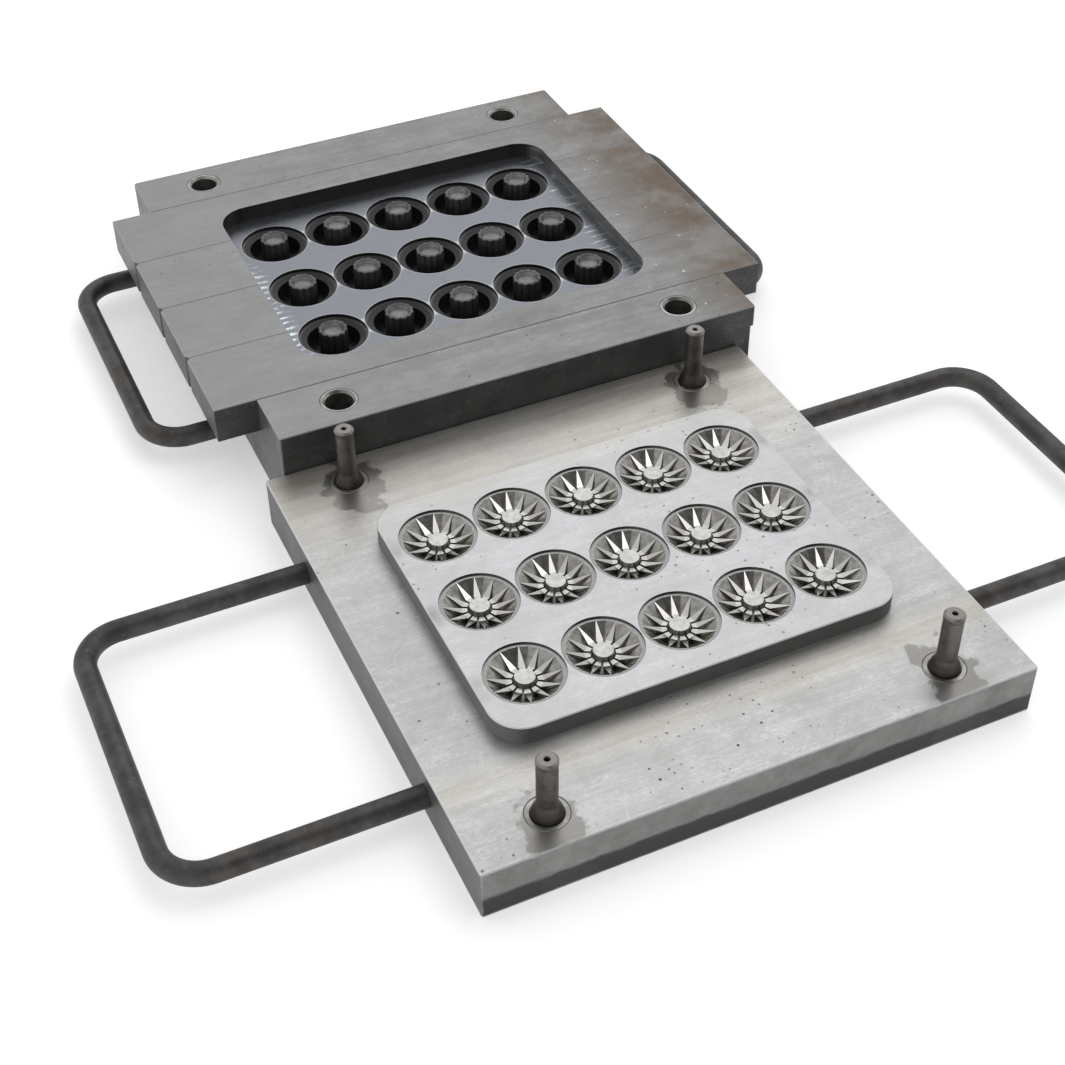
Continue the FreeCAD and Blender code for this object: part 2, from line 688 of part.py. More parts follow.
doc.recompute()
failed = [item.Label for item in doc.Objects if {"Invalid", "Error"} & set(item.State)]
bad = [p.Label for p in pieces if p.Shape.isNull() or not p.Shape.isValid() or len(p.Shape.Solids) != 1]
if failed or bad:
    raise RuntimeError("failed: %s, not one sound solid: %s" % (failed, bad))
os.makedirs("parts", exist_ok=True)
for piece in pieces:
    piece.Shape.exportStep("parts/%s.step" % piece.Label)
print("%d pieces written" % len(pieces))
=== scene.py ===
import math
import bpy
import numpy as np
from mathutils import Matrix, Vector


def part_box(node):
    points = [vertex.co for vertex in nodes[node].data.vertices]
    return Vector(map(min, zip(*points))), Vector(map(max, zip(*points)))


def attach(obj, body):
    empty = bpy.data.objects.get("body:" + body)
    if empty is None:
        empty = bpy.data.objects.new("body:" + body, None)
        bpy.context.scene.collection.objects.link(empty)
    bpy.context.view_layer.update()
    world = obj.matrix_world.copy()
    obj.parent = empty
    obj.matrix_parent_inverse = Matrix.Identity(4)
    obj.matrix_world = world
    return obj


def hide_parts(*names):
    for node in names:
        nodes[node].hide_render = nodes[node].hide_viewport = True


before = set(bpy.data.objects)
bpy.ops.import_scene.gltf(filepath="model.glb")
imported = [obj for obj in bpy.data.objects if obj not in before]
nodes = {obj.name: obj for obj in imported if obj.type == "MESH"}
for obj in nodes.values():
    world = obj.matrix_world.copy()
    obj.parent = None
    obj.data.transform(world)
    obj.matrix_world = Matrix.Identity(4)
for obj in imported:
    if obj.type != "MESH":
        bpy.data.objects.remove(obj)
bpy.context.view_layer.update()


# small helpers for node trees

def addNode(tree, kind, values=None, **settings):
    node = tree.nodes.new("ShaderNode" + kind)
    for name, item in settings.items():
        setattr(node, name, item)
    for name, item in (values or {}).items():
        if isinstance(item, bpy.types.NodeSocket):
            tree.links.new(item, node.inputs[name])
        else:
            node.inputs[name].default_value = item
    return node


def calc(tree, operation, first, second=0.0):
    # one Math node, its inputs sockets or numbers
    return addNode(tree, "Math", {0: first, 1: second}, operation=operation).outputs[0]


def fade(tree, value, low, high, start=0.0, end=1.0):
    # smooth step: start below low, end above high
    node = addNode(tree, "MapRange", {"Value": value, "From Min": low, "From Max": high,
                                      "To Min": start, "To Max": end}, interpolation_type="SMOOTHSTEP")
    return node.outputs[0]


def mixColour(tree, factor, first, second):
    node = addNode(tree, "Mix", {0: factor}, data_type="RGBA", clamp_factor=True)
    for name, item in ((6, first), (7, second)):
        if isinstance(item, bpy.types.NodeSocket):
            tree.links.new(item, node.inputs[name])
        else:
            node.inputs[name].default_value = (*item, 1.0)
    return node.outputs[2]


def mixValue(tree, factor, first, second):
    return addNode(tree, "Mix", {0: factor, 2: first, 3: second}, data_type="FLOAT", clamp_factor=True).outputs[0]


def anyOf(tree, *masks):
    # largest of several masks
    total = masks[0]
    for mask in masks[1:]:
        total = calc(tree, "MAXIMUM", total, mask)
    return total


def allOf(tree, *masks):
    # product of several masks
    total = masks[0]
    for mask in masks[1:]:
        total = calc(tree, "MULTIPLY", total, mask)
    return total


def newGroup(name, inputs, outputs):
    # node group with named sockets; returns the tree, its input node and a function that closes it
    tree = bpy.data.node_groups.new(name, "ShaderNodeTree")
    kinds = {"v": "NodeSocketVector", "f": "NodeSocketFloat"}
    for label, kind, default in inputs:
        socket = tree.interface.new_socket(label, in_out="INPUT", socket_type=kinds[kind])
        if default is not None:
            socket.default_value = default
    for label, kind in outputs:
        tree.interface.new_socket(label, in_out="OUTPUT", socket_type=kinds[kind])
    entry = tree.nodes.new("NodeGroupInput").outputs
    leave = tree.nodes.new("NodeGroupOutput").inputs

    def close(**results):
        for label, socket in results.items():
            tree.links.new(socket, leave[label])
        return tree

    return tree, entry, close


def useGroup(tree, group, **values):
    node = tree.nodes.new("ShaderNodeGroup")
    node.node_tree = group
    for name, item in values.items():
        if isinstance(item, bpy.types.NodeSocket):
            tree.links.new(item, node.inputs[name])
        else:
            node.inputs[name].default_value = item
    return node.outputs


# effects that several finishes share

def makeGrain():
    # noise drawn out along one direction, as grinding and brushing leave it
    tree, entry, close = newGroup("grain", [("Vector", "v", None), ("Frequency", "v", (10, 900, 900)),
                                            ("Detail", "f", 3.0)], [("Value", "f")])
    stretched = addNode(tree, "VectorMath", {0: entry["Vector"], 1: entry["Frequency"]}, operation="MULTIPLY")
    noise = addNode(tree, "TexNoise", {"Vector": stretched.outputs[0], "Scale": 1.0, "Detail": entry["Detail"],
                                       "Roughness": 0.6})
    return close(Value=noise.outputs["Fac"])


def makePatches():
    # soft blotches: noise cut between two levels
    tree, entry, close = newGroup("patches", [("Vector", "v", None), ("Scale", "f", 20.0), ("Low", "f", 0.5),
                                              ("High", "f", 0.6), ("Detail", "f", 4.0)], [("Mask", "f")])
    noise = addNode(tree, "TexNoise", {"Vector": entry["Vector"], "Scale": entry["Scale"],
                                       "Detail": entry["Detail"], "Roughness": 0.62})
    return close(Mask=fade(tree, noise.outputs["Fac"], entry["Low"], entry["High"]))


def makePits():
    # scattered dots of uneven size: Voronoi cells, of which a share holds a pit
    tree, entry, close = newGroup("pits", [("Vector", "v", None), ("Scale", "f", 200.0), ("Size", "f", 0.2),
                                           ("Share", "f", 0.3)], [("Mask", "f")])
    cells = addNode(tree, "TexVoronoi", {"Vector": entry["Vector"], "Scale": entry["Scale"]})
    parts = addNode(tree, "SeparateXYZ", {0: cells.outputs["Color"]}).outputs
    size = calc(tree, "MULTIPLY", entry["Size"], calc(tree, "ADD", parts[0], 0.3))
    inside = fade(tree, cells.outputs["Distance"], calc(tree, "MULTIPLY", size, 0.6), size, 1.0, 0.0)
    return close(Mask=allOf(tree, inside, calc(tree, "LESS_THAN", parts[1], entry["Share"])))


def makeNearestCentre():
    # place within a grid of round features: distance and offset from the nearest centre
    tree, entry, close = newGroup("nearestCentre", [("Vector", "v", None), ("Middle", "v", (0, 0, 0)),
                                                    ("Pitch", "v", (1, 1, 1)), ("Reach", "v", (2, 1, 0))],
                                  [("Radius", "f"), ("Offset", "v")])

    def run(operation, first, second=(0.0, 0.0, 0.0)):
        return addNode(tree, "VectorMath", {0: first, 1: second}, operation=operation).outputs[0]

    local = run("SUBTRACT", entry["Vector"], entry["Middle"])
    whole = run("FLOOR", run("ADD", run("DIVIDE", local, entry["Pitch"]), (0.5, 0.5, 0.5)))
    lowest = addNode(tree, "VectorMath", {0: entry["Reach"], "Scale": -1.0}, operation="SCALE").outputs[0]
    kept = run("MINIMUM", run("MAXIMUM", whole, lowest), entry["Reach"])
    offset = run("SUBTRACT", local, run("MULTIPLY", kept, entry["Pitch"]))
    parts = addNode(tree, "SeparateXYZ", {0: offset}).outputs
    flat = addNode(tree, "CombineXYZ", {0: parts[0], 1: parts[1]}).outputs[0]
    radius = addNode(tree, "VectorMath", {0: flat}, operation="LENGTH").outputs["Value"]
    return close(Radius=radius, Offset=offset)


def makeEdgeWear():
    # wear along the edges of an upright box: near its outline, broken by noise
    tree, entry, close = newGroup("edgeWear", [("Vector", "v", None), ("Middle", "v", (0, 0, 0)),
                                               ("Half", "v", (1, 1, 1)), ("Width", "f", 0.002)], [("Mask", "f")])
    local = addNode(tree, "VectorMath", {0: entry["Vector"], 1: entry["Middle"]}, operation="SUBTRACT").outputs[0]
    size = addNode(tree, "VectorMath", {0: local}, operation="ABSOLUTE").outputs[0]
    inset = addNode(tree, "VectorMath", {0: entry["Half"], 1: size}, operation="SUBTRACT").outputs[0]
    parts = addNode(tree, "SeparateXYZ", {0: inset}).outputs
    # the two smallest of the three insets add up to nothing at an edge
    total = calc(tree, "ADD", calc(tree, "ADD", parts[0], parts[1]), parts[2])
    largest = calc(tree, "MAXIMUM", calc(tree, "MAXIMUM", parts[0], parts[1]), parts[2])
    noise = addNode(tree, "TexNoise", {"Vector": entry["Vector"], "Scale": 160.0, "Detail": 4.0})
    width = calc(tree, "MULTIPLY", entry["Width"], calc(tree, "ADD", noise.outputs["Fac"], 0.25))
    return close(Mask=fade(tree, calc(tree, "SUBTRACT", total, largest), 0.0, width, 1.0, 0.0))


def makeScratches():
    # thin straight marks along one direction: drawn-out noise cut near its top, broken into lengths
    tree, entry, close = newGroup("scratches", [("Vector", "v", None), ("Turn", "f", 0.4), ("Low", "f", 0.66),
                                                ("High", "f", 0.70)], [("Mask", "f")])
    turned = addNode(tree, "VectorRotate", {"Vector": entry["Vector"], "Angle": entry["Turn"]},
                     rotation_type="Z_AXIS")
    stretched = addNode(tree, "VectorMath", {0: turned.outputs[0], 1: (28, 1100, 28)},
                        operation="MULTIPLY").outputs[0]
    noise = addNode(tree, "TexNoise", {"Vector": stretched, "Scale": 1.0, "Detail": 1.0}).outputs["Fac"]
    broken = addNode(tree, "TexNoise", {"Vector": entry["Vector"], "Scale": 35.0, "Detail": 3.0}).outputs["Fac"]
    return close(Mask=allOf(tree, fade(tree, noise, entry["Low"], entry["High"]), fade(tree, broken, 0.45, 0.6)))


def makeGrit():
    # fine uneven speckle of a used surface: two sizes of noise, around one half
    tree, entry, close = newGroup("grit", [("Vector", "v", None), ("Fine", "f", 900.0), ("Coarse", "f", 110.0)],
                                  [("Value", "f")])
    drawn = addNode(tree, "VectorMath", {0: entry["Vector"], 1: (0.35, 1.0, 1.0)}, operation="MULTIPLY").outputs[0]
    fine = addNode(tree, "TexNoise", {"Vector": drawn, "Scale": entry["Fine"], "Detail": 3.0}).outputs["Fac"]
    coarse = addNode(tree, "TexNoise", {"Vector": drawn, "Scale": entry["Coarse"], "Detail": 8.0,
                                        "Roughness": 0.68}).outputs["Fac"]
    return close(Value=mixValue(tree, 0.55, fine, coarse))


grain, patches, pits = makeGrain(), makePatches(), makePits()
nearestCentre, edgeWear = makeNearestCentre(), makeEdgeWear()
scratches, grit = makeScratches(), makeGrit()


# finishes

def newFinish(name):
    # material with its tree, Principled shader, Object coordinates and the surface's own normal
    material = bpy.data.materials.new(name)
    material.use_nodes = True
    tree = material.node_tree
    shader = next(node for node in tree.nodes if node.type == "BSDF_PRINCIPLED")
    place = addNode(tree, "TexCoord").outputs["Object"]
    facing = addNode(tree, "SeparateXYZ", {0: addNode(tree, "NewGeometry").outputs["True Normal"]}).outputs
    return material, tree, shader, place, facing


def finishWith(tree, shader, colour, roughness, metallic, bumps):
    # bumps is a list of (height, strength, distance), laid over one another
    for name, item in (("Base Color", colour), ("Roughness", roughness), ("Metallic", metallic)):
        if isinstance(item, bpy.types.NodeSocket):
            tree.links.new(item, shader.inputs[name])
        else:
            shader.inputs[name].default_value = item
    normal = None
    for height, strength, distance in bumps:
        bump = addNode(tree, "Bump", {"Height": height, "Strength": strength, "Distance": distance})
        if normal is not None:
            tree.links.new(normal, bump.inputs["Normal"])
        normal = bump.outputs[0]
    tree.links.new(normal, shader.inputs["Normal"])


def dress(material, names):
    for name in names:
        nodes[name].data.materials.clear()
        nodes[name].data.materials.append(material)


def within(tree, value, low, high, soft):
    # 1 between low and high, with soft ends
    return allOf(tree, fade(tree, value, low - soft, low + soft),
                 fade(tree, value, high - soft, high + soft, 1.0, 0.0))


def groundTop(tree, place, look):
    # ground steel: fine and broad strokes along X, clouding, black pits; returns colour, stroke height and pits
    fine = useGroup(tree, grain, Vector=place, Frequency=(22, 1500, 1500))[0]
    broad = useGroup(tree, grain, Vector=place, Frequency=(7, 150, 150), Detail=6.0)[0]
    strokes = calc(tree, "ADD", calc(tree, "MULTIPLY", fine, 0.4), calc(tree, "MULTIPLY", broad, 0.6))
    cloud = useGroup(tree, patches, Vector=place, Scale=look["cloudScale"], Low=0.36, High=0.68, Detail=7.0)[0]
    black = useGroup(tree, pits, Vector=place, Scale=230.0, Size=0.17, Share=look["pitShare"])[0]
    rare = useGroup(tree, patches, Vector=place, Scale=14.0, Low=0.47, High=0.58, Detail=4.0)[0]
    black = calc(tree, "MULTIPLY", black, rare)
    speckle = useGroup(tree, grit, Vector=place)[0]
    marks = anyOf(tree, *(useGroup(tree, scratches, Vector=place, Turn=turn)[0] for turn in (0.35, -0.8, 1.9)))
    colour = mixColour(tree, fade(tree, strokes, 0.32, 0.68), look["dull"], look["light"])
    colour = mixColour(tree, calc(tree, "MULTIPLY", cloud, look["cloudDepth"]), colour, look["cloud"])
    spots = useGroup(tree, patches, Vector=place, Scale=100.0, Low=0.44, High=0.66, Detail=8.0)[0]
    colour = mixColour(tree, calc(tree, "MULTIPLY", spots, 0.26), colour, look["cloud"])
    colour = mixColour(tree, fade(tree, speckle, 0.58, 0.40, 0.0, look["gritDepth"]), colour, look["cloud"])
    colour = mixColour(tree, fade(tree, speckle, 0.52, 0.66, 0.0, look["gritDepth"]), colour, look["glint"])
    colour = mixColour(tree, calc(tree, "MULTIPLY", marks, 0.18), colour, look["glint"])
    colour = mixColour(tree, calc(tree, "MULTIPLY", black, 0.85), colour, (0.035, 0.032, 0.03))
    return colour, mixValue(tree, 0.3, strokes, speckle), black


frontPlate = {"middle": (0, -0.15015, 0.015), "half": (0.150, 0.150, 0.015), "padHalf": (0.112, 0.089, 0.0205),
              "top": 0.030, "padTop": 0.041, "pitch": (0.0425, 0.055, 1.0), "ring": 0.0212,
              "firstPin": (-0.108, -0.28015, 0), "pinPitch": (0.216, 0.260, 1),
              "topLook": {"light": (0.60, 0.603, 0.61), "dull": (0.46, 0.46, 0.46), "cloud": (0.37, 0.365, 0.355),
                           "glint": (0.76, 0.76, 0.765), "cloudDepth": 0.46, "cloudScale": 26.0, "gritDepth": 0.32,
                           "pitShare": 0.75},
              "warm": (0.46, 0.42, 0.35), "oilAndPinShadow": (0.20, 0.19, 0.175), "padTint": (0.60, 0.61, 0.635),
              "bandHeight": 0.0125, "frontUpper": (0.27, 0.265, 0.258), "frontLower": (0.045, 0.043, 0.042),
              "left": (0.16, 0.158, 0.16), "facet": (0.385, 0.375, 0.35), "facetDull": (0.26, 0.252, 0.235),
              "pocket": (0.08, 0.076, 0.07), "ridge": (0.56, 0.55, 0.515),
              "boss": (0.52, 0.515, 0.49), "bossDull": (0.40, 0.395, 0.375),
              "trim": (0.25, 0.25, 0.25), "padLeft": (0.27, 0.268, 0.27), "padFront": (0.10, 0.097, 0.093),
              "warmLight": (0.62, 0.60, 0.55), "oilStreak": (0.16, 0.15, 0.14), "grime": (0.05, 0.048, 0.046),
              "gritLight": (0.36, 0.35, 0.34), "wornEdgeAndHighlight": (0.66, 0.66, 0.66)}


def onPadOrBelow(tree, at, s):
    # the cavities lie within the pad's outline, above the plate's underside
    return allOf(tree, fade(tree, calc(tree, "ABSOLUTE", at[0]), 0.1115, 0.1118, 1.0, 0.0),
                 fade(tree, at[2], 0.0300, 0.0305))


def paintFrontPlate():
    s = frontPlate
    material, tree, shader, place, facing = newFinish("groundPlateSteel")
    at = addNode(tree, "SeparateXYZ", {0: place}).outputs
    upward = fade(tree, facing[2], 0.6, 0.9)
    top, strokes, black = groundTop(tree, place, s["topLook"])
    cross = useGroup(tree, grain, Vector=place, Frequency=(650, 14, 650), Detail=2.0)[0]
    # yellowed towards the rear edge, in streaks
    streaky = useGroup(tree, patches, Vector=place, Scale=22.0, Low=0.3, High=0.65, Detail=7.0)[0]
    yellow = calc(tree, "MAXIMUM", fade(tree, at[1], -0.12, -0.01),
                  calc(tree, "MULTIPLY", within(tree, at[1], -0.262, -0.243, 0.007), 0.6))
    warmth = calc(tree, "MULTIPLY", yellow, calc(tree, "ADD", 0.35, calc(tree, "MULTIPLY", streaky, 0.6)))
    top = mixColour(tree, warmth, top, mixColour(tree, fade(tree, strokes, 0.35, 0.6), s["warm"], s["warmLight"]))
    # the pad is cleaner and a little bluish
    onPad = fade(tree, at[2], s["padTop"] - 0.0009, s["padTop"] - 0.0007)
    top = mixColour(tree, calc(tree, "MULTIPLY", onPad, 0.32), top, s["padTint"])
    # oil round the guide pins, with the pins' shadow painted in where the stain is drawn out towards -Y, and oil at
    # the pad's ends beside each row
    pin = useGroup(tree, nearestCentre, Vector=place, Middle=s["firstPin"], Pitch=s["pinPitch"], Reach=(1, 1, 0))
    ragged = addNode(tree, "TexNoise", {"Vector": place, "Scale": 90.0, "Detail": 5.0}).outputs["Fac"]
    drawn = addNode(tree, "VectorMath", {0: pin["Offset"], 1: (0.0, 0.006, 0.0)}, operation="ADD").outputs[0]
    drawn = addNode(tree, "VectorMath", {0: drawn, 1: (1.0, 0.62, 0.0)}, operation="MULTIPLY").outputs[0]
    spread = addNode(tree, "VectorMath", {0: drawn}, operation="LENGTH").outputs["Value"]
    spread = calc(tree, "ADD", spread, calc(tree, "MULTIPLY", calc(tree, "SUBTRACT", ragged, 0.5), 0.030))
    oilAndPinShadow = calc(tree, "MULTIPLY", fade(tree, spread, 0.0135, 0.0165, 1.0, 0.0), 0.72)
    rim = calc(tree, "MULTIPLY", fade(tree, calc(tree, "ABSOLUTE", calc(tree, "SUBTRACT", pin["Radius"], 0.01115)),
                                      0.0001, 0.0005, 1.0, 0.0), 0.8)
    oilAndPinShadow = calc(tree, "MAXIMUM", oilAndPinShadow, rim)
    top = mixColour(tree, calc(tree, "MULTIPLY", oilAndPinShadow, calc(tree, "SUBTRACT", 1.0, onPad)), top, s["oilAndPinShadow"])
    cell = useGroup(tree, nearestCentre, Vector=place, Middle=s["middle"], Pitch=s["pitch"], Reach=(2.2, 1.2, 0))
    tail = allOf(tree, onPad, fade(tree, calc(tree, "ABSOLUTE", at[0]), 0.103, 0.110), streaky,
                 fade(tree, calc(tree, "ABSOLUTE", addNode(tree, "SeparateXYZ", {0: cell["Offset"]}).outputs[1]),
                      0.002, 0.012, 1.0, 0.0))
    top = mixColour(tree, calc(tree, "MULTIPLY", tail, 0.5), top, s["oilStreak"])
    # cavities: polished steel whose colour follows the facing: sloping facets greyish brown as painted shade, ridges,
    # petals and boss bright as painted highlight
    inside = allOf(tree, fade(tree, cell["Radius"], s["ring"] - 0.0001, s["ring"], 1.0, 0.0),
                   fade(tree, at[2], s["padTop"] - 0.0004, s["padTop"] - 0.0002, 1.0, 0.0), onPadOrBelow(tree, at, s))
    crest = fade(tree, facing[2], 0.84, 0.90)
    smear = addNode(tree, "TexNoise", {"Vector": place, "Scale": 320.0, "Detail": 4.0}).outputs["Fac"]
    facet = mixColour(tree, fade(tree, smear, 0.35, 0.65), s["facetDull"], s["facet"])
    polishAndShade = mixColour(tree, crest, facet, s["ridge"])
    level = fade(tree, facing[2], 0.955, 0.975)
    polishAndShade = mixColour(tree, level, polishAndShade, mixColour(tree, fade(tree, smear, 0.3, 0.7), s["bossDull"], s["boss"]))
    # painted shade: the pockets between the petals round the boss darkened
    pocket = allOf(tree, within(tree, cell["Radius"], 0.0050, 0.0074, 0.0004), fade(tree, facing[2], 0.85, 0.70))
    polishAndShade = mixColour(tree, calc(tree, "MULTIPLY", pocket, 0.6), polishAndShade, s["pocket"])
    polishAndShade = mixColour(tree, fade(tree, cell["Radius"], 0.01895, 0.0191), polishAndShade, s["trim"])
    # outer faces: painted shade keeps them darker than the top, the lower band painted darker and the upper band
    # lighter as light falls; grime over them
    mottled = useGroup(tree, patches, Vector=place, Scale=60.0, Low=0.3, High=0.72, Detail=7.0)[0]
    bandEdgeNoise = useGroup(tree, grain, Vector=place, Frequency=(30, 30, 900), Detail=4.0)[0]
    edge = calc(tree, "ADD", at[2], calc(tree, "MULTIPLY", calc(tree, "ADD", bandEdgeNoise, mottled), 0.0016))
    band = fade(tree, edge, s["bandHeight"], s["bandHeight"] + 0.0028)
    side = mixColour(tree, band, s["frontLower"], s["frontUpper"])
    # painted light: the faces turned to -X painted lighter than the front faces
    leftward = fade(tree, facing[0], -0.4, -0.9)
    side = mixColour(tree, leftward, side, s["left"])
    side = mixColour(tree, calc(tree, "MULTIPLY", mottled, 0.4), side, s["grime"])
    gritty = useGroup(tree, grit, Vector=place)[0]
    gritOnBand = calc(tree, "MULTIPLY", fade(tree, gritty, 0.5, 0.66, 0.0, 0.3), band)
    side = mixColour(tree, gritOnBand, side, s["gritLight"])
    padSide = fade(tree, at[2], s["top"] + 0.0002, s["top"] + 0.0006)
    # painted light and shade on the pad's sides: its front painted dark, its left face lighter
    padLook = mixColour(tree, fade(tree, facing[0], -0.15, -0.85), s["padFront"], s["padLeft"])
    side = mixColour(tree, calc(tree, "MULTIPLY", padSide, 0.8), side, padLook)
    padWear = useGroup(tree, edgeWear, Vector=place, Middle=(0, -0.15015, 0.0205), Half=s["padHalf"], Width=0.0014)[0]
    worn = anyOf(tree, useGroup(tree, edgeWear, Vector=place, Middle=s["middle"], Half=s["half"], Width=0.0018)[0],
                 calc(tree, "MULTIPLY", padWear, padSide))
    body = mixColour(tree, upward, side, top)
    # worn edges, and the chamfers painted bright as painted highlight
    bevel = within(tree, facing[2], 0.5, 0.9, 0.05)
    body = mixColour(tree, calc(tree, "MAXIMUM", calc(tree, "MULTIPLY", worn, 0.7), bevel), body, s["wornEdgeAndHighlight"])
    colour = mixColour(tree, inside, body, polishAndShade)
    rough = mixValue(tree, upward, 0.5, calc(tree, "ADD", 0.33, calc(tree, "MULTIPLY", strokes, 0.2)))
    rough = mixValue(tree, oilAndPinShadow, rough, 0.28)
    rough = mixValue(tree, inside, rough, mixValue(tree, crest, 0.27, 0.25))
    metal = mixValue(tree, inside, mixValue(tree, upward, 0.6, 0.9), 1.0)
    outside = calc(tree, "SUBTRACT", 1.0, inside)
    finishWith(tree, shader, colour, rough, metal,
               [(calc(tree, "MULTIPLY", strokes, outside), 0.35, 0.00012),
                (calc(tree, "MULTIPLY", cross, outside), 0.10, 0.00008),
                (calc(tree, "SUBTRACT", 1.0, calc(tree, "MULTIPLY", black, outside)), 0.6, 0.0003),
                (smear, 0.05, 0.00005)])
    dress(material, ["front_plate"])


rearHalf = {"middle": (0.011, 0.15015, 0.0275), "half": (0.150, 0.150, 0.0275), "barHalf": (0.175, 0.150, 0.0275),
            "recessX": 0.1125, "recessY": 0.0895, "floor": 0.045, "pitch": (0.0425, 0.055, 1.0), "ring": 0.0211,
            "topLook": {"light": (0.30, 0.302, 0.30), "dull": (0.225, 0.227, 0.225), "cloud": (0.15, 0.15, 0.15),
                         "glint": (0.37, 0.37, 0.372), "cloudDepth": 0.36, "cloudScale": 24.0, "gritDepth": 0.24,
                         "pitShare": 0.5},
            "lilac": (0.31, 0.308, 0.318), "rust": (0.12, 0.088, 0.062), "front": (0.085, 0.084, 0.083),
            "frontLow": (0.030, 0.030, 0.031),
            "left": (0.17, 0.168, 0.178), "wall": (0.035, 0.030, 0.026), "rightWall": (0.15, 0.148, 0.14),
            "scraped": (0.34, 0.335, 0.32), "floorSteel": (0.20, 0.212, 0.235), "floorDark": (0.17, 0.18, 0.20),
            "bright": (0.72, 0.80, 0.84), "nick": (0.62, 0.62, 0.60), "grime": (0.018, 0.018, 0.019),
            "gritLight": (0.20, 0.20, 0.20), "wornEdgeAndHighlight": (0.40, 0.40, 0.41), "lip": (0.30, 0.31, 0.33),
            "well": (0.030, 0.030, 0.031), "step": (0.10, 0.10, 0.105)}


